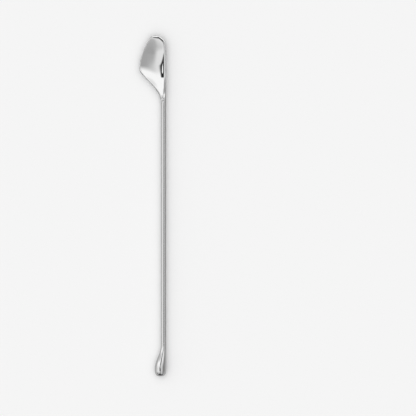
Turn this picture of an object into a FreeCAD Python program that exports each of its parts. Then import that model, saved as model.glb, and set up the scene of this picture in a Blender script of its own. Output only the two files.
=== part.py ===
import FreeCAD, Part
import math
import os

# A bar spoon in polished stainless steel, lying on a table with its hollow facing up.
# Frame, in mm: X across the spoon, Y along it with the bowl tip at +Y, Z up from the table.
# The origin is under the middle of the spoon's bounding box, on the table.

# Overall
LENGTH = 250.0                       # drop's flat base to bowl tip
HALF = LENGTH / 2
AXIS_X = 7.9                         # the shaft's axis is to the right of the middle
SHAFT_R = 1.85
DROP_R = 4.13
AXIS_Z = DROP_R                      # the fat end of the drop rests on the table
RIM_Z = AXIS_Z + SHAFT_R             # the bowl's rim is level with the top of the shaft

# Joints: each end of the shaft has a turned spigot in a blind socket, and a ground weld over the seam
BOWL_JOINT_Y = 64.0
DROP_JOINT_Y = -101.0
SPIGOT_R = 1.1
SPIGOT_LENGTH = 9.0
SOCKET_CLEARANCE = 0.02
SOCKET_END_GAP = 0.3
WELD_HALF_WIDTH = 0.35
WELD_DEPTH = 0.5

# Drop: a teardrop whose right side stays in line with the shaft
TAPER_START_Y = -102.2
TAPER_END_Y = -119.7
CORNER_START_Y = -120.8
CORNER_WIDTH = 2.3                   # how far the rounded corner comes in at the base

# Bowl outline, seen from above, as distances from the shaft's axis
DIAGONAL_START_Y = 81.66             # where the straight lower-left side would leave the shaft
DIAGONAL_SLOPE = 0.95
NECK_REACH = 7.0                     # how softly the neck turns into the diagonal
KINK_X = -17.7
KINK_Y = 98.7
UPPER_SIDE_R = 38.4
KINK_REACH = 1.6
TIP_LEFT_X = -8.3
TIP_LEFT_SLOPE = 1.6
SHOULDER_Y = 112.0                   # the right side is straight up to here
SHOULDER_R = 50.0
TIP_RIGHT_X = 0.9
TIP_RIGHT_Y = 121.5
TIP_RIGHT_SLOPE = 1.4
TIP_REACH = 2.0
TIP_CENTRE_X = -6.1
TIP_ROUND = 0.8                      # the outline closes over this length
LIP_ROUND = 0.6                      # the lip is rounded over this length

# Hollow
RUNOUT_Y = 74.5                      # the hollow fades out on top of the shaft here
DEEPEST_Y = 99.2
HOLLOW_TIP_Y = 123.6
DEPTH = 4.6
RUNOUT_POWER = 2.6                   # how slowly the hollow deepens from the neck
TIP_SOFTNESS = 0.01                  # keeps the hollow's end at the tip from being quite upright
WALL_LAND = 0.5                      # thin rim on the right
WALL_WIDTH = 1.06                    # width of the steep wall inside the right rim
WALL_LEAD = 0.8                      # the wall follows the outline from this far ahead
VALLEY_GAP = 1.3                     # from the foot of the wall to the lowest line of the floor
VALLEY_ROUND = 0.09
FLOOR_SLOPE = 0.3                    # slope of the floor beside the valley, as a share of its average slope
BEND_PLACE = 0.47                    # where the floor turns steeper, as a share of its width
BEND_ROUND = 0.22
FLOOR_TILT = 0.6                     # how much of the floor is plainly slanted near the tip
RIM_KINK_REACH = 5.0                 # the hollow's rim is rounder than the outline at the kink
CREASE_BLEND = 0.25
RIM_BLEND = 0.12

# Along the bowl: where one shape turns into another, as (start, end) in Y
EDGE_NARROWS = (72.0, 92.0)
EDGE_NARROWS_AGAIN = (96.0, 102.0)
SECTION_GROWS = (RUNOUT_Y, 90.0)
SHELL_THINS = (RUNOUT_Y, 95.0)
NECK_TILT_ENDS = (82.0, 94.0)
TIP_TILT_STARTS = (111.0, 117.0)
VALLEY_CLOSES = (102.0, 112.0)

# Shell
SHELL = 1.38                         # thickness under the deepest point
RIM_EDGE = 1.1                       # height of the outer edge at the left rim
DIAGONAL_EDGE_WIDTH = 0.8            # width of the rounded left edge along the diagonal
EDGE_WIDTH = 0.42                    # and above the kink
RIGHT_EDGE_WIDTH = 0.4
RIGHT_EDGE_HEIGHT = 0.5
BELLY_WIDTH = 4.0                    # from the lowest line to the right side
NECK_ROUNDNESS = 0.5                 # the underside is round at the neck
BOWL_ROUNDNESS = 1.0                 # and flatter along the bowl

# How the bowl's surface is laid out
SECTION_POINTS = 121
TURN_WEIGHT = 1.0                    # mm of extra length counted per radian of turn
UNDERSIDE_STEPS = 60
BELLY_STEPS = 30
TOP_STEPS = 200
NECK_STATIONS = [BOWL_JOINT_Y, 66.0, 68.5]
FIRST_BOWL_STATION = 71.0
STATION_GAP = 1.5
FINE_STATION_GAP = 0.7
FINE_STATIONS = (96.0, 102.0)        # the stations are closer round the kink
TIP_STATIONS = (4.2, 3.5, 2.9, 2.4, 2.05, 1.75, 1.52, 1.35, 1.15, 0.95, 0.75, 0.55, 0.38, 0.24, 0.14, 0.06)
FACE_SPLIT = 0.42                    # share of the outline taken by the underside's face
CAP_TOLERANCE = 1e-4
SEW_TOLERANCE = 0.001

# How the other pieces are laid out
GROOVE_OVERCUT = 0.4                 # the groove's cutter stands this far out of the surface
SPIGOT_ROOT = 5.0                    # the spigot's bar starts this far inside the shaft
TAPER_SECTIONS = 14
CORNER_STEPS = 12


def ramp(value, start, end):
    """0 before start, 1 after end, with a smooth rise between."""
    t = min(max((value - start) / (end - start), 0.0), 1.0)
    return t * t * (3 - 2 * t)


def mix(a, b, share):
    return a + (b - a) * share


def blend_min(a, b, reach):
    """The smaller of two values, rounded where they are closer than reach."""
    gap = max(reach - abs(a - b), 0.0) / reach
    return min(a, b) - reach * gap * gap / 4


def blend_max(a, b, reach):
    return -blend_min(-a, -b, reach)


def tip_scale(y, length):
    """1 along the bowl, falling to 0 at the tip over the given length as a quarter circle."""
    t = max(y - (HALF - length), 0.0) / length
    return math.sqrt(max(1 - t * t, 0.0))


def lower_left_side(y):
    """X of the bowl's left outline along the neck and the diagonal."""
    diagonal = -SHAFT_R - DIAGONAL_SLOPE * (y - DIAGONAL_START_Y)
    return blend_min(-SHAFT_R, diagonal, NECK_REACH)


def left_side(y):
    """X of the bowl's left outline, before the tip closes."""
    upper = KINK_X + max(y - KINK_Y, 0.0) ** 2 / (2 * UPPER_SIDE_R)
    tip = TIP_LEFT_X + TIP_LEFT_SLOPE * (y - HALF)
    return blend_max(blend_max(lower_left_side(y), upper, KINK_REACH), tip, TIP_REACH)


def left_edge_width(y):
    """Width of the rounded left edge: the rod's own radius at the neck, narrow along the bowl."""
    narrowed = mix(SHAFT_R, DIAGONAL_EDGE_WIDTH, ramp(y, *EDGE_NARROWS))
    return mix(narrowed, EDGE_WIDTH, ramp(y, *EDGE_NARROWS_AGAIN))


def rim_line(y):
    """X of the hollow's left rim: where the rounded edge ends, and rounder than the outline at the kink."""
    lower = lower_left_side(y) + DIAGONAL_EDGE_WIDTH
    lower += (SHAFT_R - DIAGONAL_EDGE_WIDTH) * (1 - ramp(y, *EDGE_NARROWS))
    upper = KINK_X + EDGE_WIDTH + max(y - KINK_Y, 0.0) ** 2 / (2 * UPPER_SIDE_R)
    tip = TIP_LEFT_X + TIP_LEFT_SLOPE * (y - HALF) + 2 * EDGE_WIDTH
    return blend_max(blend_max(lower, upper, RIM_KINK_REACH), tip, TIP_REACH)


def right_side(y):
    """X of the bowl's right outline, before the tip closes."""
    shoulder = SHAFT_R - max(y - SHOULDER_Y, 0.0) ** 2 / (2 * SHOULDER_R)
    tip = TIP_RIGHT_X - TIP_RIGHT_SLOPE * (y - TIP_RIGHT_Y)
    return blend_min(shoulder, tip, TIP_REACH)


def hollow_depth(y):
    """Greatest depth of the hollow in the section at y."""
    if y < DEEPEST_Y:
        t = min((DEEPEST_Y - y) / (DEEPEST_Y - RUNOUT_Y), 1.0)
        return DEPTH * (1 - t * t) ** RUNOUT_POWER
    t = min((y - DEEPEST_Y) / (HOLLOW_TIP_Y - DEEPEST_Y), 1.0)
    full = math.sqrt(1 + TIP_SOFTNESS) - math.sqrt(TIP_SOFTNESS)
    return DEPTH * (math.sqrt(1 - t * t + TIP_SOFTNESS) - math.sqrt(TIP_SOFTNESS)) / full


def floor_rise(u):
    """Rise of the hollow's floor, 0 in the valley and 1 at the rim: gentle, then steeper past a bend."""
    def rise(u):
        past = u - BEND_PLACE
        bend = (past + math.sqrt(past * past + BEND_ROUND**2)) / 2
        return FLOOR_SLOPE * math.sqrt(u * u + VALLEY_ROUND**2) + (1 - FLOOR_SLOPE) / (1 - BEND_PLACE) * bend
    return (rise(u) - rise(0.0)) / (rise(1.0) - rise(0.0))


def hollow_height(x, y):
    """Z of the hollow's surface: a floor rising to the left, and a steep wall on the right."""
    depth = hollow_depth(y)
    wall_top = right_side(y + WALL_LEAD) - WALL_LAND
    crease = wall_top - WALL_WIDTH
    valley = crease - VALLEY_GAP * (1 - ramp(y, *VALLEY_CLOSES))
    u = (valley - x) / (valley - rim_line(y))
    tilt = mix(1 - ramp(y, *NECK_TILT_ENDS), FLOOR_TILT, ramp(y, *TIP_TILT_STARTS))
    floor = -depth * (1 - tilt * u - (1 - tilt) * floor_rise(u))
    wall = depth * (x - wall_top) / WALL_WIDTH
    return RIM_Z + blend_max(floor, wall, CREASE_BLEND)


def bottom_height(y):
    """Z of the lowest line of the underside."""
    shell = mix(2 * SHAFT_R, SHELL, ramp(y, *SHELL_THINS))
    shell -= (SHELL - RIM_EDGE) * min(max((y - DEEPEST_Y) / (HOLLOW_TIP_Y - DEEPEST_Y), 0.0), 1.0)
    return RIM_Z - hollow_depth(y) - shell


def edge_drop(x, inner_x, width, height):
    """How far a rounded edge has fallen at x: a quarter ellipse going out from inner_x."""
    t = min(abs(x - inner_x) / width, 1.0)
    return height * (1 - math.sqrt(1 - t * t))


def bowl_outline(y):
    """Closed section at y as many (x, z) pairs, from the left edge under the bowl and back over the top."""
    grown = ramp(y, *SECTION_GROWS)
    closing = tip_scale(y, TIP_ROUND)
    left = mix(TIP_CENTRE_X, left_side(y), closing)
    right = mix(TIP_CENTRE_X, right_side(y), closing)
    half = (right - left) / 2
    bottom = bottom_height(y)
    edge = mix(SHAFT_R, RIM_EDGE, grown)
    left_width = min(left_edge_width(y), half)
    right_width = min(mix(SHAFT_R, RIGHT_EDGE_WIDTH, grown), half)
    right_height = mix(SHAFT_R, RIGHT_EDGE_HEIGHT, grown)
    belly = min(mix(SHAFT_R, BELLY_WIDTH, grown), half)
    belly_height = (RIM_Z - bottom) / 2
    roundness = mix(NECK_ROUNDNESS, BOWL_ROUNDNESS, grown)
    points = []
    for i in range(UNDERSIDE_STEPS):                     # underside, left edge to lowest line
        u = math.cos(math.pi / 2 * i / UNDERSIDE_STEPS)
        rise = 1 - (1 - u * u) ** roundness
        points.append((mix(right - belly, left, u), mix(bottom, RIM_Z - edge, rise)))
    for i in range(BELLY_STEPS + 1):                     # underside, lowest line to right side
        a = math.pi / 2 * i / BELLY_STEPS
        points.append((right - belly * (1 - math.sin(a)), bottom + belly_height * (1 - math.cos(a))))
    for i in range(TOP_STEPS + 1):                       # over the top, right to left
        x = left + half * (1 + math.cos(math.pi * i / TOP_STEPS))
        z = RIM_Z
        if x > right - right_width:
            z -= edge_drop(x, right - right_width, right_width, right_height)
        if x < left + left_width:
            z -= edge_drop(x, left + left_width, left_width, edge)
        points.append((x, blend_min(z, hollow_height(x, y), RIM_BLEND)))
    low = RIM_Z - edge
    lip = tip_scale(y, LIP_ROUND)
    return [(x, mix(low, z, lip)) for x, z in points]


def spread(outline, count):
    """The outline as count points, evenly spaced by length, with more of them where it turns."""
    reach = [0.0]
    heading = None
    for (x0, z0), (x1, z1) in zip(outline, outline[1:]):
        step = math.hypot(x1 - x0, z1 - z0)
        turn = 0.0
        if step > 1e-9:
            new_heading = math.atan2(z1 - z0, x1 - x0)
            if heading is not None:
                turn = abs(math.remainder(new_heading - heading, 2 * math.pi))
            heading = new_heading
        reach.append(reach[-1] + step + TURN_WEIGHT * turn)
    points = []
    k = 0
    for i in range(count):
        target = reach[-1] * i / (count - 1)
        while k < len(reach) - 2 and reach[k + 1] < target:
            k += 1
        share = (target - reach[k]) / max(reach[k + 1] - reach[k], 1e-12)
        (x0, z0), (x1, z1) = outline[k], outline[k + 1]
        points.append((mix(x0, x1, share), mix(z0, z1, share)))
    return points


def bowl_stations():
    """Places along Y where the bowl's surface is laid out, closest at the kink and the tip."""
    stations = list(NECK_STATIONS)
    y = FIRST_BOWL_STATION
    while y < HALF - TIP_STATIONS[0] - FINE_STATION_GAP:
        stations.append(y)
        near_kink = FINE_STATIONS[0] < y < FINE_STATIONS[1]
        y += FINE_STATION_GAP if near_kink else STATION_GAP
    return stations + [HALF - offset for offset in TIP_STATIONS]


def at(x, y, z):
    """A point given from the shaft's axis, in the part's frame."""
    return FreeCAD.Vector(AXIS_X + x, y, z)


def rod(radius, start_y, end_y, x=0.0):
    """Round bar along Y at the shaft's height."""
    return Part.makeCylinder(radius, end_y - start_y, at(x, start_y, AXIS_Z), FreeCAD.Vector(0, 1, 0))


def turned(outline, x=0.0):
    """Solid turned about a line along Y: outline is (radius, y) pairs."""
    points = [at(x, y, AXIS_Z + radius) for radius, y in outline]
    face = Part.Face(Part.makePolygon(points + points[:1]))
    return face.revolve(at(x, 0, AXIS_Z), FreeCAD.Vector(0, 1, 0), 360)


def vee(joint_y, outer_radius):
    """Ring of triangular section with its point towards the axis at the joint."""
    root = SHAFT_R - WELD_DEPTH
    half_width = WELD_HALF_WIDTH * (outer_radius - root) / WELD_DEPTH
    near_edge = (outer_radius, joint_y - half_width)
    far_edge = (outer_radius, joint_y + half_width)
    return turned([(root, joint_y), near_edge, far_edge])


def weld(joint_y):
    """Weld bead that fills the groove over a joint, ground flush with the shaft."""
    return vee(joint_y, SHAFT_R)


def groove(joint_y):
    return vee(joint_y, SHAFT_R + GROOVE_OVERCUT)


def socket(joint_y, direction):
    """Blind hole for a spigot, from the joint in the given direction along Y."""
    far = joint_y + direction * (SPIGOT_LENGTH + SOCKET_END_GAP)
    return rod(SPIGOT_R + SOCKET_CLEARANCE, min(joint_y, far), max(joint_y, far))


def make_shaft():
    """Straight rod with a spigot at each end."""
    body = rod(SHAFT_R, DROP_JOINT_Y, BOWL_JOINT_Y)
    body = body.cut(groove(BOWL_JOINT_Y)).cut(groove(DROP_JOINT_Y))
    body = body.fuse(rod(SPIGOT_R, BOWL_JOINT_Y - SPIGOT_ROOT, BOWL_JOINT_Y + SPIGOT_LENGTH))
    body = body.fuse(rod(SPIGOT_R, DROP_JOINT_Y - SPIGOT_LENGTH, DROP_JOINT_Y + SPIGOT_ROOT))
    return body.removeSplitter()


def spline(points, parameters):
    curve = Part.BSplineCurve()
    curve.interpolate(Points=list(points), Parameters=parameters)
    return curve


def skin_through(rows, row_parameters):
    """Smooth surface through a grid of points: splines along the rows, then splines across them."""
    count = len(rows[0])
    along = [i / (count - 1) for i in range(count)]
    row_splines = [spline(row, along) for row in rows]
    across = [spline(column, row_parameters) for column in zip(*[r.getPoles() for r in row_splines])]
    poles = list(zip(*[c.getPoles() for c in across]))
    surface = Part.BSplineSurface()
    surface.buildFromPolesMultsKnots(
        poles,
        across[0].getMultiplicities(), row_splines[0].getMultiplicities(),
        across[0].getKnots(), row_splines[0].getKnots(),
        False, False, across[0].Degree, row_splines[0].Degree)
    return surface


def end_cap(faces, y):
    """Flat face across the open end of the skin at y."""
    edges = []
    for edge in [e for face in faces for e in face.Edges]:
        if all(abs(point.y - y) < CAP_TOLERANCE for point in edge.discretize(9)):
            edges.append(edge)
    return Part.Face(Part.Wire(edges))


def make_bowl():
    """Shell of the bowl and its neck: one smooth skin through the sections, closed at both ends."""
    stations = bowl_stations()
    rows = []
    for y in stations:
        outline = bowl_outline(y)
        points = spread(outline + outline[:1], SECTION_POINTS)
        rows.append([at(x, y, z) for x, z in points])
    skin = skin_through(rows, stations)
    faces = []
    for start, end in ((0.0, FACE_SPLIT), (FACE_SPLIT, 1.0)):        # underside and top
        piece = skin.copy()
        piece.segment(stations[0], stations[-1], start, end)
        faces.append(piece.toShape())
    shell = Part.makeShell(faces + [end_cap(faces, stations[0]), end_cap(faces, stations[-1])])
    shell.sewShape(SEW_TOLERANCE)
    body = Part.Solid(shell)
    if body.Volume < 0:
        body.reverse()
    return body.cut(socket(BOWL_JOINT_Y, 1)).cut(groove(BOWL_JOINT_Y))


def drop_radius(y):
    """Radius of the drop's taper at y."""
    return mix(SHAFT_R, DROP_R, ramp(-y, -TAPER_START_Y, -TAPER_END_Y))


def make_drop():
    """Weighted teardrop: a taper of round sections that lean to the left, and a turned base."""
    rings = []
    for i in range(TAPER_SECTIONS + 1):
        y = mix(TAPER_START_Y, TAPER_END_Y, i / TAPER_SECTIONS)
        radius = drop_radius(y)
        centre = at(SHAFT_R - radius, y, AXIS_Z)
        rings.append(Part.Wire([Part.makeCircle(radius, centre, FreeCAD.Vector(0, 1, 0))]))
    taper = Part.makeLoft(rings, True, False)
    centre_x = SHAFT_R - DROP_R
    base = rod(DROP_R, CORNER_START_Y, TAPER_END_Y, centre_x)
    outline = [(0, CORNER_START_Y), (DROP_R, CORNER_START_Y)]
    for i in range(1, CORNER_STEPS + 1):
        a = math.pi / 2 * i / CORNER_STEPS
        radius = DROP_R - CORNER_WIDTH * (1 - math.cos(a))
        outline.append((radius, CORNER_START_Y - (CORNER_START_Y + HALF) * math.sin(a)))
    corner = turned(outline + [(0, -HALF)], centre_x)
    stub = rod(SHAFT_R, TAPER_START_Y, DROP_JOINT_Y)
    body = stub.fuse([taper, base, corner]).removeSplitter()
    return body.cut(socket(DROP_JOINT_Y, -1)).cut(groove(DROP_JOINT_Y))


PARTS = {
    "bowl": make_bowl,
    "bowl_weld": lambda: weld(BOWL_JOINT_Y),
    "shaft": make_shaft,
    "drop_weld": lambda: weld(DROP_JOINT_Y),
    "drop_weight": make_drop,
}

os.makedirs("parts", exist_ok=True)
for name, make in PARTS.items():
    shape = make().Solids[0]
    shape.exportStep("parts/" + name + ".step")
    print(name, "valid" if shape.isValid() else "NOT VALID", "volume %.1f mm3" % shape.Volume)
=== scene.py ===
import math
import bpy
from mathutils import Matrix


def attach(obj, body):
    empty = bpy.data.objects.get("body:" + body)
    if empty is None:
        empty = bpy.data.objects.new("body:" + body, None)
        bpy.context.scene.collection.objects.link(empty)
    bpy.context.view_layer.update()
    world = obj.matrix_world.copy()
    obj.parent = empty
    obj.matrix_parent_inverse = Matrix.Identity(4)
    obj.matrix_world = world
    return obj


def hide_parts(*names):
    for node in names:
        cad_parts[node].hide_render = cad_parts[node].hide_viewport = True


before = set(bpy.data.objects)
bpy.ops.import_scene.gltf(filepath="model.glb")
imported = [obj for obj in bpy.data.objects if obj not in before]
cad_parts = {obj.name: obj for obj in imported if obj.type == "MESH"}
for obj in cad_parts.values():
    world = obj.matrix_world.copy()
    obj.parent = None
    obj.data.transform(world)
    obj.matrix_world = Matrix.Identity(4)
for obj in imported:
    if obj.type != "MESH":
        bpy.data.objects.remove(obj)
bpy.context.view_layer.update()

# A bar spoon in polished stainless steel, rebuilt as fine meshes from the same formulas as the CAD model.
# Dimensions are in mm, in the CAD frame: X across the spoon, Y towards the bowl's tip, Z up from the table.
MM = 0.001

# Overall
HALF = 125.0                         # half the overall length
AXIS_X = 7.9                         # the shaft's axis is to the right of the middle
SHAFT_R = 1.85
DROP_R = 4.13
AXIS_Z = DROP_R                      # the fat end of the drop rests on the table
RIM_Z = AXIS_Z + SHAFT_R             # the bowl's rim is level with the top of the shaft

# Joints
BOWL_JOINT_Y = 64.0
DROP_JOINT_Y = -101.0
WELD_HALF_WIDTH = 0.35
WELD_PROFILE = ((-1, 0.02), (-0.8, 0.0), (-0.3, 0.0), (0.3, 0.0), (0.8, 0.0), (1, 0.02))   # (place, sink)

# Drop: a teardrop whose right side stays in line with the shaft
TAPER_START_Y = -102.2
TAPER_END_Y = -119.7
CORNER_START_Y = -120.8
CORNER_WIDTH = 2.3                   # how far the rounded corner comes in at the base

# Bowl outline, seen from above, as distances from the shaft's axis
DIAGONAL_START_Y = 81.66             # where the straight lower-left side would leave the shaft
DIAGONAL_SLOPE = 0.95
NECK_REACH = 7.0                     # how softly the neck turns into the diagonal
KINK_X = -17.7
KINK_Y = 98.7
UPPER_SIDE_R = 38.4
KINK_REACH = 1.6
TIP_LEFT_X = -8.3
TIP_LEFT_SLOPE = 1.6
SHOULDER_Y = 112.0                   # the right side is straight up to here
SHOULDER_R = 50.0
TIP_RIGHT_X = 0.9
TIP_RIGHT_Y = 121.5
TIP_RIGHT_SLOPE = 1.4
TIP_REACH = 2.0
TIP_CENTRE_X = -6.1
TIP_ROUND = 0.8                      # the outline closes over this length
LIP_ROUND = 0.6                      # the lip is rounded over this length

# Hollow
RUNOUT_Y = 74.5                      # the hollow fades out on top of the shaft here
DEEPEST_Y = 99.2
HOLLOW_TIP_Y = 123.6
DEPTH = 4.6
RUNOUT_POWER = 2.6                   # how slowly the hollow deepens from the neck
TIP_SOFTNESS = 0.01                  # keeps the hollow's end at the tip from being quite upright
WALL_LAND = 0.5                      # thin rim on the right
WALL_WIDTH = 1.06                    # width of the steep wall inside the right rim
WALL_LEAD = 0.8                      # the wall follows the outline from this far ahead
VALLEY_GAP = 1.3                     # from the foot of the wall to the lowest line of the floor
VALLEY_ROUND = 0.09
FLOOR_SLOPE = 0.3                    # slope of the floor beside the valley, as a share of its average slope
BEND_PLACE = 0.47                    # where the floor turns steeper, as a share of its width
BEND_ROUND = 0.22
FLOOR_TILT = 0.6                     # how much of the floor is plainly slanted near the tip
RIM_KINK_REACH = 5.0                 # the hollow's rim is rounder than the outline at the kink
CREASE_BLEND = 0.25
RIM_BLEND = 0.12

# Along the bowl: where one shape turns into another, as (start, end) in Y
EDGE_NARROWS = (72.0, 92.0)
EDGE_NARROWS_AGAIN = (96.0, 102.0)
SECTION_GROWS = (RUNOUT_Y, 90.0)
SHELL_THINS = (RUNOUT_Y, 95.0)
NECK_TILT_ENDS = (82.0, 94.0)
TIP_TILT_STARTS = (111.0, 117.0)
VALLEY_CLOSES = (102.0, 112.0)

# Shell
SHELL = 1.38                         # thickness under the deepest point
RIM_EDGE = 1.1                       # height of the outer edge at the left rim
DIAGONAL_EDGE_WIDTH = 0.8            # width of the rounded left edge along the diagonal
EDGE_WIDTH = 0.42                    # and above the kink
RIGHT_EDGE_WIDTH = 0.4
RIGHT_EDGE_HEIGHT = 0.5
BELLY_WIDTH = 4.0                    # from the lowest line to the right side
NECK_ROUNDNESS = 0.5                 # the underside is round at the neck
BOWL_ROUNDNESS = 1.0                 # and flatter along the bowl

# How finely the bowl's mesh is laid out
SECTION_POINTS = 320
TURN_WEIGHT = 1.5                    # mm of extra length counted per radian of turn
UNDERSIDE_STEPS = 120
BELLY_STEPS = 60
TOP_STEPS = 600
STATION_GAP = 0.3
FINE_STATION_GAP = 0.12
FINE_AT_KINK = (94.0, 101.0)         # the stations are closer between these
FINE_FROM_Y = 121.0                  # and from here to the tip
LAST_STATION_Y = 123.8               # the evenly spaced stations end just past here
TIP_LENGTH = 1.0                     # the end of the bowl, where the stations crowd together
TIP_STATIONS = 40
TIP_FACET = 0.001                    # the last section stops this far short of the tip

# How finely the other meshes are laid out
ROUND_POINTS = 160
SHAFT_STEPS = 80
TAPER_STEPS = 90
CORNER_STEPS = 60
BASE_RINGS = (0.8, 0.5, 0.2)         # rings on the drop's flat base, as shares of its radius
SHARP_ANGLE = 38.0                   # degrees; sharper edges aren't shaded smooth


# ---------------------------------------------------------------- shape formulas

def ramp(value, start, end):
    """0 before start, 1 after end, with a smooth rise between."""
    t = min(max((value - start) / (end - start), 0.0), 1.0)
    return t * t * (3 - 2 * t)


def mix(a, b, share):
    return a + (b - a) * share


def blend_min(a, b, reach):
    """The smaller of two values, rounded where they are closer than reach."""
    gap = max(reach - abs(a - b), 0.0) / reach
    return min(a, b) - reach * gap * gap / 4


def blend_max(a, b, reach):
    return -blend_min(-a, -b, reach)


def tip_scale(y, length):
    """1 along the bowl, falling to 0 at the tip over the given length as a quarter circle."""
    t = max(y - (HALF - length), 0.0) / length
    return math.sqrt(max(1 - t * t, 0.0))


def lower_left_side(y):
    """X of the bowl's left outline along the neck and the diagonal."""
    diagonal = -SHAFT_R - DIAGONAL_SLOPE * (y - DIAGONAL_START_Y)
    return blend_min(-SHAFT_R, diagonal, NECK_REACH)


def left_side(y):
    """X of the bowl's left outline, before the tip closes."""
    upper = KINK_X + max(y - KINK_Y, 0.0) ** 2 / (2 * UPPER_SIDE_R)
    tip = TIP_LEFT_X + TIP_LEFT_SLOPE * (y - HALF)
    return blend_max(blend_max(lower_left_side(y), upper, KINK_REACH), tip, TIP_REACH)


def left_edge_width(y):
    """Width of the rounded left edge: the rod's own radius at the neck, narrow along the bowl."""
    narrowed = mix(SHAFT_R, DIAGONAL_EDGE_WIDTH, ramp(y, *EDGE_NARROWS))
    return mix(narrowed, EDGE_WIDTH, ramp(y, *EDGE_NARROWS_AGAIN))


def rim_line(y):
    """X of the hollow's left rim: where the rounded edge ends, and rounder than the outline's kink."""
    lower = lower_left_side(y) + DIAGONAL_EDGE_WIDTH
    lower += (SHAFT_R - DIAGONAL_EDGE_WIDTH) * (1 - ramp(y, *EDGE_NARROWS))
    upper = KINK_X + EDGE_WIDTH + max(y - KINK_Y, 0.0) ** 2 / (2 * UPPER_SIDE_R)
    tip = TIP_LEFT_X + TIP_LEFT_SLOPE * (y - HALF) + 2 * EDGE_WIDTH
    return blend_max(blend_max(lower, upper, RIM_KINK_REACH), tip, TIP_REACH)


def right_side(y):
    """X of the bowl's right outline, before the tip closes."""
    shoulder = SHAFT_R - max(y - SHOULDER_Y, 0.0) ** 2 / (2 * SHOULDER_R)
    tip = TIP_RIGHT_X - TIP_RIGHT_SLOPE * (y - TIP_RIGHT_Y)
    return blend_min(shoulder, tip, TIP_REACH)


def hollow_depth(y):
    """Greatest depth of the hollow in the section at y."""
    if y < DEEPEST_Y:
        t = min((DEEPEST_Y - y) / (DEEPEST_Y - RUNOUT_Y), 1.0)
        return DEPTH * (1 - t * t) ** RUNOUT_POWER
    t = min((y - DEEPEST_Y) / (HOLLOW_TIP_Y - DEEPEST_Y), 1.0)
    full = math.sqrt(1 + TIP_SOFTNESS) - math.sqrt(TIP_SOFTNESS)
    return DEPTH * (math.sqrt(1 - t * t + TIP_SOFTNESS) - math.sqrt(TIP_SOFTNESS)) / full


def floor_rise(u):
    """Rise of the hollow's floor, 0 in the valley and 1 at the rim: gentle, then steeper past a bend."""
    def rise(u):
        past = u - BEND_PLACE
        bend = (past + math.sqrt(past * past + BEND_ROUND**2)) / 2
        gentle = FLOOR_SLOPE * math.sqrt(u * u + VALLEY_ROUND**2)
        return gentle + (1 - FLOOR_SLOPE) / (1 - BEND_PLACE) * bend
    return (rise(u) - rise(0.0)) / (rise(1.0) - rise(0.0))


def hollow_height(x, y):
    """Z of the hollow's surface: a floor rising to the left, and a steep wall on the right."""
    depth = hollow_depth(y)
    wall_top = right_side(y + WALL_LEAD) - WALL_LAND
    crease = wall_top - WALL_WIDTH
    valley = crease - VALLEY_GAP * (1 - ramp(y, *VALLEY_CLOSES))
    u = (valley - x) / (valley - rim_line(y))
    tilt = mix(1 - ramp(y, *NECK_TILT_ENDS), FLOOR_TILT, ramp(y, *TIP_TILT_STARTS))
    floor = -depth * (1 - tilt * u - (1 - tilt) * floor_rise(u))
    wall = depth * (x - wall_top) / WALL_WIDTH
    return RIM_Z + blend_max(floor, wall, CREASE_BLEND)


def bottom_height(y):
    """Z of the lowest line of the underside."""
    shell = mix(2 * SHAFT_R, SHELL, ramp(y, *SHELL_THINS))
    shell -= (SHELL - RIM_EDGE) * min(max((y - DEEPEST_Y) / (HOLLOW_TIP_Y - DEEPEST_Y), 0.0), 1.0)
    return RIM_Z - hollow_depth(y) - shell


def edge_drop(x, inner_x, width, height):
    """How far a rounded edge has fallen at x: a quarter ellipse going out from inner_x."""
    t = min(abs(x - inner_x) / width, 1.0)
    return height * (1 - math.sqrt(1 - t * t))


def bowl_outline(y):
    """Closed section at y as many (x, z) pairs: from the left edge under the bowl, back over the top."""
    grown = ramp(y, *SECTION_GROWS)
    closing = tip_scale(y, TIP_ROUND)
    left = mix(TIP_CENTRE_X, left_side(y), closing)
    right = mix(TIP_CENTRE_X, right_side(y), closing)
    half = (right - left) / 2
    bottom = bottom_height(y)
    edge = mix(SHAFT_R, RIM_EDGE, grown)
    left_width = min(left_edge_width(y), half)
    right_width = min(mix(SHAFT_R, RIGHT_EDGE_WIDTH, grown), half)
    right_height = mix(SHAFT_R, RIGHT_EDGE_HEIGHT, grown)
    belly = min(mix(SHAFT_R, BELLY_WIDTH, grown), half)
    belly_height = (RIM_Z - bottom) / 2
    roundness = mix(NECK_ROUNDNESS, BOWL_ROUNDNESS, grown)
    points = []
    for i in range(UNDERSIDE_STEPS):                     # underside, left edge to lowest line
        u = math.cos(math.pi / 2 * i / UNDERSIDE_STEPS)
        rise = 1 - (1 - u * u) ** roundness
        points.append((mix(right - belly, left, u), mix(bottom, RIM_Z - edge, rise)))
    for i in range(BELLY_STEPS + 1):                     # underside, lowest line to right side
        a = math.pi / 2 * i / BELLY_STEPS
        points.append((right - belly * (1 - math.sin(a)), bottom + belly_height * (1 - math.cos(a))))
    for i in range(TOP_STEPS + 1):                       # over the top, right to left
        x = left + half * (1 + math.cos(math.pi * i / TOP_STEPS))
        z = RIM_Z
        if x > right - right_width:
            z -= edge_drop(x, right - right_width, right_width, right_height)
        if x < left + left_width:
            z -= edge_drop(x, left + left_width, left_width, edge)
        points.append((x, blend_min(z, hollow_height(x, y), RIM_BLEND)))
    low = RIM_Z - edge
    lip = tip_scale(y, LIP_ROUND)
    return [(x, mix(low, z, lip)) for x, z in points]


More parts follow.
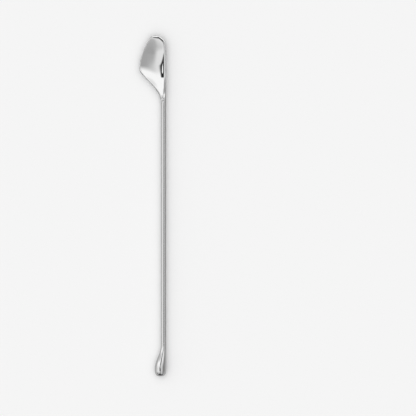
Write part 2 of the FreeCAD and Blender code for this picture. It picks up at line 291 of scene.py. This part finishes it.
def spread(outline, count):
    """The outline as count points, evenly spaced by length, with more of them where it turns."""
    reach = [0.0]
    heading = None
    for (x0, z0), (x1, z1) in zip(outline, outline[1:]):
        step = math.hypot(x1 - x0, z1 - z0)
        turn = 0.0
        if step > 1e-9:
            new_heading = math.atan2(z1 - z0, x1 - x0)
            if heading is not None:
                turn = abs(math.remainder(new_heading - heading, 2 * math.pi))
            heading = new_heading
        reach.append(reach[-1] + step + TURN_WEIGHT * turn)
    points = []
    k = 0
    for i in range(count):
        target = reach[-1] * i / (count - 1)
        while k < len(reach) - 2 and reach[k + 1] < target:
            k += 1
        share = (target - reach[k]) / max(reach[k + 1] - reach[k], 1e-12)
        (x0, z0), (x1, z1) = outline[k], outline[k + 1]
        points.append((mix(x0, x1, share), mix(z0, z1, share)))
    return points


def bowl_stations():
    """Places along Y for the bowl's sections, closest at the kink and the tip."""
    stations = [BOWL_JOINT_Y + WELD_HALF_WIDTH]
    while stations[-1] < LAST_STATION_Y:
        y = stations[-1]
        near_kink = FINE_AT_KINK[0] < y < FINE_AT_KINK[1]
        stations.append(y + (FINE_STATION_GAP if near_kink or y > FINE_FROM_Y else STATION_GAP))
    for i in range(TIP_STATIONS):
        angle = math.pi / 2 * i / (TIP_STATIONS - 1)
        stations.append(HALF - TIP_LENGTH + (TIP_LENGTH - TIP_FACET) * math.sin(angle))
    return stations


# ---------------------------------------------------------------- meshes

def closed_rings(name, rings):
    """Mesh from rings of points in mm, each the same count, with both ends filled."""
    count = len(rings[0])
    vertices = [(x * MM, y * MM, z * MM) for ring in rings for x, y, z in ring]
    faces = []
    for r in range(len(rings) - 1):
        for i in range(count):
            j = (i + 1) % count
            faces.append((r * count + i, r * count + j, (r + 1) * count + j, (r + 1) * count + i))
    for r in (0, len(rings) - 1):
        ring = [r * count + i for i in range(count)]
        faces.append(ring if r else ring[::-1])
    mesh = bpy.data.meshes.new(name)
    mesh.from_pydata(vertices, [], faces)
    mesh.validate()
    mesh.shade_smooth()
    mesh.set_sharp_from_angle(angle=math.radians(SHARP_ANGLE))
    piece = bpy.data.objects.new(name, mesh)
    bpy.context.scene.collection.objects.link(piece)
    return piece


def circle(radius, y, centre_x=0.0):
    """Ring of points about a line along Y, at the shaft's height."""
    ring = []
    for i in range(ROUND_POINTS):
        a = -2 * math.pi * i / ROUND_POINTS
        ring.append((AXIS_X + centre_x + radius * math.cos(a), y, AXIS_Z + radius * math.sin(a)))
    return ring


def make_bowl():
    rings = []
    for y in bowl_stations():
        outline = bowl_outline(y)
        points = spread(outline + outline[:1], SECTION_POINTS + 1)[:-1]
        rings.append([(AXIS_X + x, y, z) for x, z in points])
    return closed_rings("bowl_polished", rings[::-1])


def make_shaft():
    start = DROP_JOINT_Y + WELD_HALF_WIDTH
    end = BOWL_JOINT_Y - WELD_HALF_WIDTH
    places = [mix(start, end, i / SHAFT_STEPS) for i in range(SHAFT_STEPS + 1)]
    return closed_rings("shaft_polished", [circle(SHAFT_R, y) for y in places])


def make_weld(name, joint_y):
    """Ground bead: flush with the rod but for a hair's breadth of sink at its two edges."""
    rings = []
    for share, sink in WELD_PROFILE:
        rings.append(circle(SHAFT_R - sink, joint_y + share * WELD_HALF_WIDTH))
    return closed_rings(name, rings)


def make_drop():
    """Teardrop whose right side stays in line with the shaft, with a nearly flat base."""
    rings = [circle(SHAFT_R, DROP_JOINT_Y - WELD_HALF_WIDTH)]
    for i in range(TAPER_STEPS + 1):
        y = mix(TAPER_START_Y, TAPER_END_Y, i / TAPER_STEPS)
        radius = mix(SHAFT_R, DROP_R, ramp(-y, -TAPER_START_Y, -TAPER_END_Y))
        rings.append(circle(radius, y, SHAFT_R - radius))
    centre_x = SHAFT_R - DROP_R
    for i in range(CORNER_STEPS + 1):
        a = math.pi / 2 * i / CORNER_STEPS
        radius = DROP_R - CORNER_WIDTH * (1 - math.cos(a))
        y = CORNER_START_Y - (CORNER_START_Y + HALF) * math.sin(a)
        rings.append(circle(radius, y, centre_x))
    for share in BASE_RINGS:
        rings.append(circle((DROP_R - CORNER_WIDTH) * share, -HALF, centre_x))
    return closed_rings("drop_polished", rings[::-1])


# ---------------------------------------------------------------- materials

STEEL_GREY = 0.66                    # how much light the polished steel reflects
WELD_GREY = 0.64
HAZE_SCALE = 55.0                    # finger smears, about 2 cm across
HAZE_DETAIL = 4.0
HAZE_RANGE = (0.35, 0.75)
HAIRLINE_SCALE = (9000.0, 260.0, 9000.0)     # polishing marks: fine across, long along Y
HAIRLINE_DETAIL = 2.0


class Nodes:
    """Short calls for building a node tree."""

    def __init__(self, tree):
        self.tree = tree
        self.tree.nodes.clear()

    def add(self, kind, **settings):
        node = self.tree.nodes.new(kind)
        for name, value in settings.items():
            setattr(node, name, value)
        return node

    def feed(self, socket, value):
        """Links a socket's source, or sets its number or colour."""
        if hasattr(value, "links"):
            self.tree.links.new(value, socket)
        else:
            socket.default_value = value

    def math(self, operation, a, b=0.0, c=0.0):
        node = self.add("ShaderNodeMath", operation=operation)
        for socket, value in zip(node.inputs, (a, b, c)):
            self.feed(socket, value)
        return node.outputs[0]

    def step(self, value, start, end, low=0.0, high=1.0):
        """low before start, high after end, smooth between."""
        node = self.add("ShaderNodeMapRange", interpolation_type="SMOOTHSTEP")
        for name, number in (("Value", value), ("From Min", start), ("From Max", end),
                             ("To Min", low), ("To Max", high)):
            self.feed(node.inputs[name], number)
        return node.outputs[0]

    def mix(self, share, a, b):
        node = self.add("ShaderNodeMix", data_type="FLOAT")
        self.feed(node.inputs[0], share)
        self.feed(node.inputs[2], a)
        self.feed(node.inputs[3], b)
        return node.outputs[0]

    def curve(self, value, stops):
        """Grey level that follows (place, level) stops."""
        node = self.add("ShaderNodeValToRGB")
        self.feed(node.inputs[0], value)
        band = node.color_ramp
        band.elements[0].position = stops[0][0]
        band.elements[0].color = (stops[0][1],) * 3 + (1.0,)
        band.elements[1].position = stops[-1][0]
        band.elements[1].color = (stops[-1][1],) * 3 + (1.0,)
        for place, level in stops[1:-1]:
            band.elements.new(place).color = (level, level, level, 1.0)
        return node.outputs[0]


def noise(n, place, scale, detail):
    node = n.add("ShaderNodeTexNoise")
    n.feed(node.inputs["Vector"], place)
    node.inputs["Scale"].default_value = scale
    node.inputs["Detail"].default_value = detail
    return node.outputs["Fac"]


def steel(name, grey, roughness, smear, scratch_depth):
    """Polished stainless steel: a faint haze of finger smears, and hairline polishing marks along Y."""
    material = bpy.data.materials.new(name)
    material.use_nodes = True
    n = Nodes(material.node_tree)
    place = n.add("ShaderNodeTexCoord").outputs["Object"]
    haze = noise(n, place, HAZE_SCALE, HAZE_DETAIL)
    stretch = n.add("ShaderNodeMapping")
    n.feed(stretch.inputs["Vector"], place)
    stretch.inputs["Scale"].default_value = HAIRLINE_SCALE
    hairlines = noise(n, stretch.outputs[0], 1.0, HAIRLINE_DETAIL)
    bump = n.add("ShaderNodeBump")
    bump.inputs["Strength"].default_value = 1.0
    bump.inputs["Distance"].default_value = scratch_depth
    n.feed(bump.inputs["Height"], hairlines)
    shader = n.add("ShaderNodeBsdfPrincipled")
    shader.inputs["Base Color"].default_value = (grey, grey, grey, 1)
    shader.inputs["Metallic"].default_value = 1.0
    n.feed(shader.inputs["Roughness"], n.step(haze, *HAZE_RANGE, roughness, roughness + smear))
    n.feed(shader.inputs["Normal"], bump.outputs[0])
    out = n.add("ShaderNodeOutputMaterial")
    n.feed(out.inputs["Surface"], shader.outputs[0])
    return material


def finish_piece(piece, node, material):
    piece.data.materials.append(material)
    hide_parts(node)
    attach(piece, "root")


# ---------------------------------------------------------------- studio

FLOOR_GREY = 0.913                   # the floor and the backdrop as seen, in linear light
FLOOR_ALBEDO = 0.86
# painted shade: the floor is darkened only where the steel reflects it, standing in for shade near the
# spoon
FLOOR_SHADE_IN_STEEL = 0.62                # the share of its brightness that the floor keeps in a reflection
FLOOR_HALF_SIZE = 14.0               # m
PAPER_GRAIN_SCALE = 900.0
PAPER_GRAIN_RANGE = (0.3, 0.7)
PAPER_GRAIN = 0.004

# What lights the floor: even light from all round, more from overhead and a little more from the left
LIGHT_ALL_ROUND = 0.4
LIGHT_OVERHEAD = 1.65
OVERHEAD_FOCUS = 3.5
LIGHT_FROM_LEFT = 0.3

# What the steel reflects is a grey level for each direction: X to the right, Y to the far side and Z up,
# each from -1 to 1. A list holds (place, level) stops, where places 0 to 1 stand for X or Y from -1 to 1.
# A pair holds the start and end of a blend.
NEAR_LEVELS = [(0.0, 0.55), (0.04, 0.66), (0.18, 0.75), (0.6, 0.74), (0.63, 0.71), (0.665, 0.57),
               (0.7, 0.43), (0.75, 0.35), (0.82, 0.35), (0.955, 0.25), (1.0, 0.12)]
MIDDLE_LEVELS = [(0.0, 0.55), (0.04, 0.66), (0.18, 0.76), (0.63, 0.72), (0.68, 0.63), (0.74, 0.55),
                 (0.82, 0.46), (0.9, 0.3), (0.96, 0.2), (1.0, 0.1)]
NEAR_TO_MIDDLE_Y = (-0.32, 0.02)
NEAR_END_FADE = [(0.0, 0.1), (0.07, 0.18), (0.12, 0.35), (0.16, 0.88), (0.3, 1.0), (1.0, 1.0)]
LEFT_CORNER_X = (-0.8, -0.3)         # the near left corner is dimmer
LEFT_CORNER_Y = (-0.58, -0.15)
LEFT_CORNER_DIMMING = 0.68
FAR_SIDE_Y = (0.0, 0.38)             # the far side is brighter higher up
FAR_SIDE_Z = (0.0, 0.4)
FAR_SIDE_LOW = 0.5
FAR_SIDE_HIGH = 0.92
PANEL_X = (-0.35, -0.1)              # a grey panel stands at the far left
PANEL_Y = (0.32, 0.45)
PANEL_Z = (0.8, 0.9)
PANEL_GREY = 0.48

# Things overhead are placed on a ceiling one unit up: across to the right, along to the far side
LEAST_HEIGHT = 0.02
DARK_GREY = 0.02
# The stops of the slot's half width are (distance nearward, half width)
SLOT_HALF_WIDTHS = [(0.0, 0.19), (0.04, 0.19), (0.1, 0.12), (0.2, 0.07), (0.26, 0.04), (1.0, 0.04)]
SLOT_LEFT_REACH = 0.16               # the slot reaches further left than right, but not at its far end
SLOT_LEFT_REACH_ENDS = (0.06, 0.16)
SLOT_EDGE = (-0.06, 0.05)
SLOT_FAR_END = (0.4, 0.47)
LAMP_ALONG = 0.075                   # the middle of an oval lamp in the slot
LAMP_HALF_WIDTH = 0.06
LAMP_HALF_LENGTH = 0.12
LAMP_EDGE = (0.6, 1.4)
LAMP_LEVEL = 0.9
STAND_LEAN = 0.22                    # a dark stand runs nearward from the slot, leaning to the left
STAND_SPREAD = 0.3                   # and widening
STAND_HALF_WIDTH = 0.02
STAND_EDGE = (-0.05, 0.05)
STAND_START = (0.12, 0.3)

# Camera
CAMERA_DISTANCE = 3.0                # m
VIEW_WIDTH = 0.305                   # m
SENSOR_WIDTH = 36.0
CLIP_END = 40.0
VIEW_CENTRE_X = 32.6                 # to the right of the shaft's axis
VIEW_CENTRE_Y = -1.7


def make_floor():
    """Pale paper, with painted shade: it is darker only where the steel reflects it."""
    size = FLOOR_HALF_SIZE
    mesh = bpy.data.meshes.new("studio_floor")
    corners = [(-size, -size, 0), (size, -size, 0), (size, size, 0), (-size, size, 0)]
    mesh.from_pydata(corners, [], [(0, 1, 2, 3)])
    floor = bpy.data.objects.new("studio_floor", mesh)
    bpy.context.scene.collection.objects.link(floor)
    material = bpy.data.materials.new("studio_paper")
    material.use_nodes = True
    n = Nodes(material.node_tree)
    shader = n.add("ShaderNodeBsdfPrincipled")
    grain = n.add("ShaderNodeTexNoise")
    n.feed(grain.inputs["Vector"], n.add("ShaderNodeTexCoord").outputs["Object"])
    grain.inputs["Scale"].default_value = PAPER_GRAIN_SCALE
    darkest = FLOOR_ALBEDO - PAPER_GRAIN
    palest = FLOOR_ALBEDO + PAPER_GRAIN
    paper = n.step(grain.outputs["Fac"], *PAPER_GRAIN_RANGE, darkest, palest)
    # painted shade: rays reflected off the steel see the paper darker
    seen_in_steel = n.add("ShaderNodeLightPath").outputs["Is Glossy Ray"]
    share = n.step(seen_in_steel, 0.0, 1.0, 1.0, FLOOR_SHADE_IN_STEEL)
    n.feed(shader.inputs["Base Color"], n.math("MULTIPLY", paper, share))
    n.feed(n.add("ShaderNodeOutputMaterial").inputs["Surface"], shader.outputs[0])
    shader.inputs["Roughness"].default_value = 1.0
    shader.inputs["Specular IOR Level"].default_value = 0.0
    mesh.materials.append(material)


def walls_seen_in_steel(n, x, y, z):
    """Level of the studio all round: pale on the left, greyer to the right, dark at the near end."""
    rightward = n.math("MULTIPLY_ADD", x, 0.5, 0.5)
    near = n.curve(rightward, NEAR_LEVELS)
    middle = n.curve(rightward, MIDDLE_LEVELS)
    level = n.mix(n.step(y, *NEAR_TO_MIDDLE_Y), near, middle)
    farward = n.math("MULTIPLY_ADD", y, 0.5, 0.5)
    fade = n.curve(farward, NEAR_END_FADE)
    corner_y = n.step(y, *LEFT_CORNER_Y, 1.0, 0.0)
    corner_x = n.step(x, *LEFT_CORNER_X, LEFT_CORNER_DIMMING, 0.0)
    left_corner = n.math("MULTIPLY", corner_y, corner_x)
    level = n.math("MULTIPLY", n.math("MULTIPLY", level, fade), n.math("SUBTRACT", 1.0, left_corner))
    far_side = n.step(z, *FAR_SIDE_Z, FAR_SIDE_LOW, FAR_SIDE_HIGH)
    level = n.mix(n.step(y, *FAR_SIDE_Y), level, far_side)
    panel = n.math("MULTIPLY", n.step(x, *PANEL_X, 1.0, 0.0), n.step(y, *PANEL_Y))
    return n.mix(n.math("MULTIPLY", panel, n.step(z, *PANEL_Z, 1.0, 0.0)), level, PANEL_GREY)


def overhead_slot(n, across, along, nearward):
    """1 inside the dark slot overhead, which narrows nearward, and 0 outside it."""
    half_width = n.curve(nearward, SLOT_HALF_WIDTHS)
    left_reach = n.step(along, *SLOT_LEFT_REACH_ENDS, SLOT_LEFT_REACH, 0.0)
    off_left = n.math("SUBTRACT", n.math("MULTIPLY", across, -1.0), left_reach)
    off_middle = n.math("MAXIMUM", across, off_left)
    slot = n.step(n.math("SUBTRACT", off_middle, half_width), *SLOT_EDGE, 1.0, 0.0)
    return n.math("MULTIPLY", slot, n.step(along, *SLOT_FAR_END, 1.0, 0.0))


def near_stand(n, across, nearward):
    """1 inside the dark stand on the near side, and 0 outside it."""
    half_width = n.math("MULTIPLY_ADD", nearward, STAND_SPREAD, STAND_HALF_WIDTH)
    off_middle = n.math("ABSOLUTE", n.math("MULTIPLY_ADD", nearward, STAND_LEAN, across))
    stand = n.step(n.math("SUBTRACT", off_middle, half_width), *STAND_EDGE, 1.0, 0.0)
    return n.math("MULTIPLY", stand, n.step(nearward, *STAND_START))


def slot_lamp(n, across, along):
    """1 inside the oval lamp in the middle of the slot, and 0 outside it."""
    oval_x = n.math("DIVIDE", across, LAMP_HALF_WIDTH)
    oval_y = n.math("DIVIDE", n.math("SUBTRACT", along, LAMP_ALONG), LAMP_HALF_LENGTH)
    oval = n.math("ADD", n.math("MULTIPLY", oval_x, oval_x), n.math("MULTIPLY", oval_y, oval_y))
    return n.step(oval, *LAMP_EDGE, 1.0, 0.0)


def studio_seen_in_steel(n, x, y, z):
    """Brightness of the studio in a direction, raised to allow for the light that the steel takes."""
    height = n.math("MAXIMUM", z, LEAST_HEIGHT)
    across = n.math("DIVIDE", x, height)
    along = n.math("DIVIDE", y, height)
    nearward = n.math("MAXIMUM", n.math("MULTIPLY", along, -1.0), 0.0)
    slot = overhead_slot(n, across, along, nearward)
    dark = n.math("MAXIMUM", slot, near_stand(n, across, nearward))
    level = n.mix(dark, walls_seen_in_steel(n, x, y, z), DARK_GREY)
    level = n.mix(slot_lamp(n, across, along), level, LAMP_LEVEL)
    return n.math("DIVIDE", level, STEEL_GREY)


def make_studio():
    """The world: one brightness for lighting the floor, one seen in the steel, and the pale backdrop."""
    world = bpy.data.worlds.new("studio")
    bpy.context.scene.world = world
    world.use_nodes = True
    n = Nodes(world.node_tree)
    direction = n.add("ShaderNodeSeparateXYZ")
    n.feed(direction.inputs[0], n.add("ShaderNodeTexCoord").outputs["Generated"])
    x, y, z = direction.outputs
    overhead = n.math("POWER", n.math("MAXIMUM", z, 0.0), OVERHEAD_FOCUS)
    lighting = n.math("MULTIPLY_ADD", overhead, LIGHT_OVERHEAD, LIGHT_ALL_ROUND)
    lighting = n.math("MULTIPLY_ADD", x, -LIGHT_FROM_LEFT, lighting)
    lighting = n.math("MULTIPLY", lighting, FLOOR_GREY / FLOOR_ALBEDO)
    ray = n.add("ShaderNodeLightPath")
    seen = n.mix(ray.outputs["Is Glossy Ray"], lighting, studio_seen_in_steel(n, x, y, z))
    seen = n.mix(ray.outputs["Is Camera Ray"], seen, FLOOR_GREY)
    background = n.add("ShaderNodeBackground")
    n.feed(background.inputs["Color"], seen)
    out = n.add("ShaderNodeOutputWorld")
    n.feed(out.inputs["Surface"], background.outputs[0])


def make_camera():
    """Looks straight down from far off, with the spoon left of the middle."""
    camera = bpy.data.objects.new("camera", bpy.data.cameras.new("camera"))
    camera.data.sensor_width = SENSOR_WIDTH
    camera.data.lens = SENSOR_WIDTH * CAMERA_DISTANCE / VIEW_WIDTH
    camera.data.clip_end = CLIP_END
    view_x = (AXIS_X + VIEW_CENTRE_X) * MM
    camera.location = (view_x, VIEW_CENTRE_Y * MM, CAMERA_DISTANCE + RIM_Z * MM)
    bpy.context.scene.collection.objects.link(camera)
    bpy.context.scene.camera = camera


# ---------------------------------------------------------------- build

mirror = steel("polished_steel", STEEL_GREY, roughness=0.03, smear=0.03, scratch_depth=0.0000004)
ground = steel("ground_weld", WELD_GREY, roughness=0.08, smear=0.05, scratch_depth=0.0000006)

finish_piece(make_bowl(), "bowl", mirror)
finish_piece(make_shaft(), "shaft", mirror)
finish_piece(make_drop(), "drop_weight", mirror)
finish_piece(make_weld("bowl_weld_ground", BOWL_JOINT_Y), "bowl_weld", ground)
finish_piece(make_weld("drop_weld_ground", DROP_JOINT_Y), "drop_weld", ground)

make_floor()
make_studio()
make_camera()
bpy.context.scene.view_settings.view_transform = "Standard"
bpy.context.scene.view_settings.look = "None"
